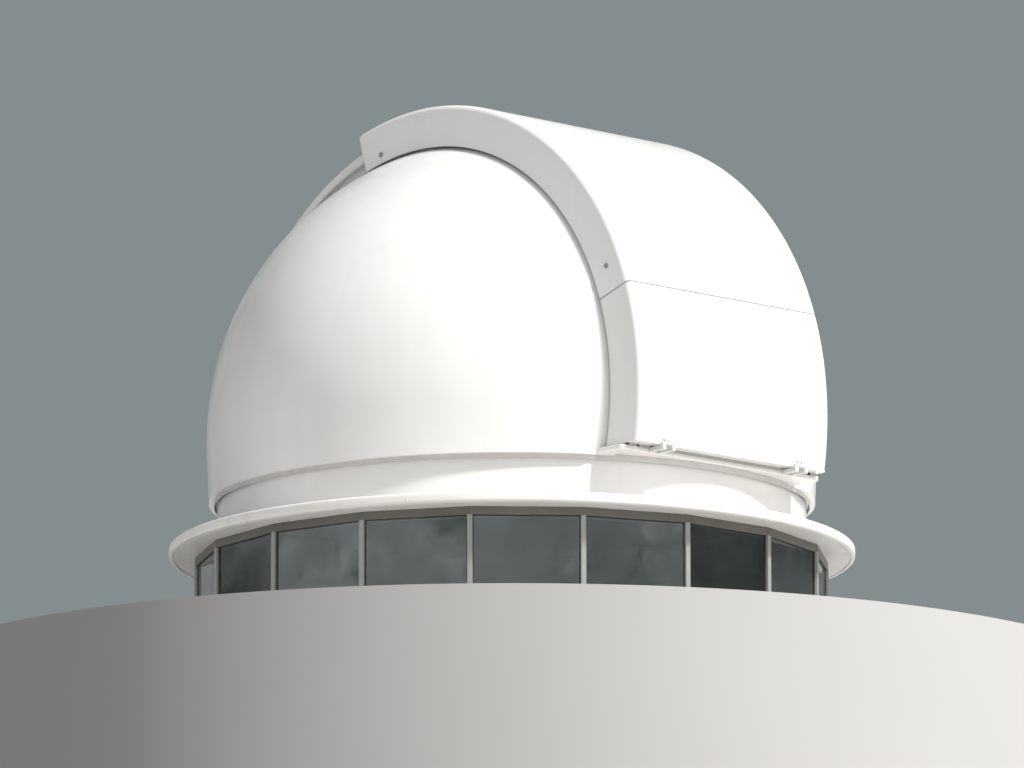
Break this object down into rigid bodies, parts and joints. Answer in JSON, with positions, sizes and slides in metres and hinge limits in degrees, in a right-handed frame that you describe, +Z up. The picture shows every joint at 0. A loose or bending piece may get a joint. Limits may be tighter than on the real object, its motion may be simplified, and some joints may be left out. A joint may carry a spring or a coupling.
{
  "type": "observatory dome on a glazed drum",
  "caption": "Round observatory dome with a slit closed by a rolling upper shutter and a folding lower flap, turning on a low glazed drum under a wide eave.",
  "frame": {"origin": "on the drum's vertical axis, at the flat underside of its curb", "axes": "+Z up; -Y out of the slit, through the lower flap; +X to the right as seen from the flap's side"},
  "size_m": [3.362, 3.362, 2.7914],
  "materials": {
    "gelcoat": "gloss",
    "eave_white": "painted",
    "frame_grey": "powder coated",
    "pane_glass": "polished",
    "zinc": "matte",
    "alloy": "mill",
    "nylon": "matte",
    "dark_steel": "satin"
  },
  "bodies": {
    "drum": {"curb_1": "zinc", "window_frame_1": "frame_grey", "eave_ring_1": "eave_white", "base_ring_1": "gelcoat", "curb_2": "zinc", "window_frame_2": "frame_grey", "eave_ring_2": "eave_white", "base_ring_2": "gelcoat", "curb_3": "zinc", "window_frame_3": "frame_grey", "eave_ring_3": "eave_white", "base_ring_3": "gelcoat", "glazing_1": "pane_glass", "dome_roller_1": "nylon", "glazing_2": "pane_glass", "dome_roller_2": "nylon", "glazing_3": "pane_glass", "dome_roller_3": "nylon", "glazing_4": "pane_glass", "dome_roller_4": "nylon", "glazing_5": "pane_glass", "dome_roller_5": "nylon", "glazing_6": "pane_glass", "dome_roller_6": "nylon"},
    "dome": {"dome_shell_front_left": "gelcoat", "dome_shell_front_right": "gelcoat", "dome_shell_rear_left": "gelcoat", "dome_shell_rear_right": "gelcoat", "rear_panel": "gelcoat", "slit_rail_left": "alloy", "slit_rail_right": "alloy", "slit_crossbar": "alloy", "slit_sill": "gelcoat", "running_ring_left": "alloy", "running_ring_right": "alloy", "hinge_bracket_left": "dark_steel", "hinge_bracket_right": "dark_steel"},
    "upper_shutter": {"shutter_cover": "gelcoat", "shutter_cheek_left": "gelcoat", "shutter_cheek_right": "gelcoat", "shutter_front_bar": "gelcoat", "shutter_rear_wall": "gelcoat", "shutter_roller_front_left": "nylon", "shutter_roller_front_right": "nylon", "shutter_roller_rear_left": "nylon", "shutter_roller_rear_right": "nylon"},
    "lower_flap": {"flap_cover": "gelcoat", "flap_cheek_left": "gelcoat", "flap_cheek_right": "gelcoat", "flap_hinge_left": "dark_steel", "flap_hinge_right": "dark_steel"}
  },
  "joints": [
    {"name": "dome_turn", "type": "hinge", "parent": "drum", "child": "dome", "pos_m": [0, 0, 0.89], "axis": [0, 0, 1], "continuous": true},
    {"name": "shutter_roll", "type": "hinge", "parent": "dome", "child": "upper_shutter", "pos_m": [0, 0, 1.21], "axis": [-1, 0, 0], "range_deg": [0, 85]},
    {"name": "flap_fold", "type": "hinge", "parent": "dome", "child": "lower_flap", "pos_m": [0, -1.573, 0.934], "axis": [1, 0, 0], "range_deg": [0, 100]}
  ]
}
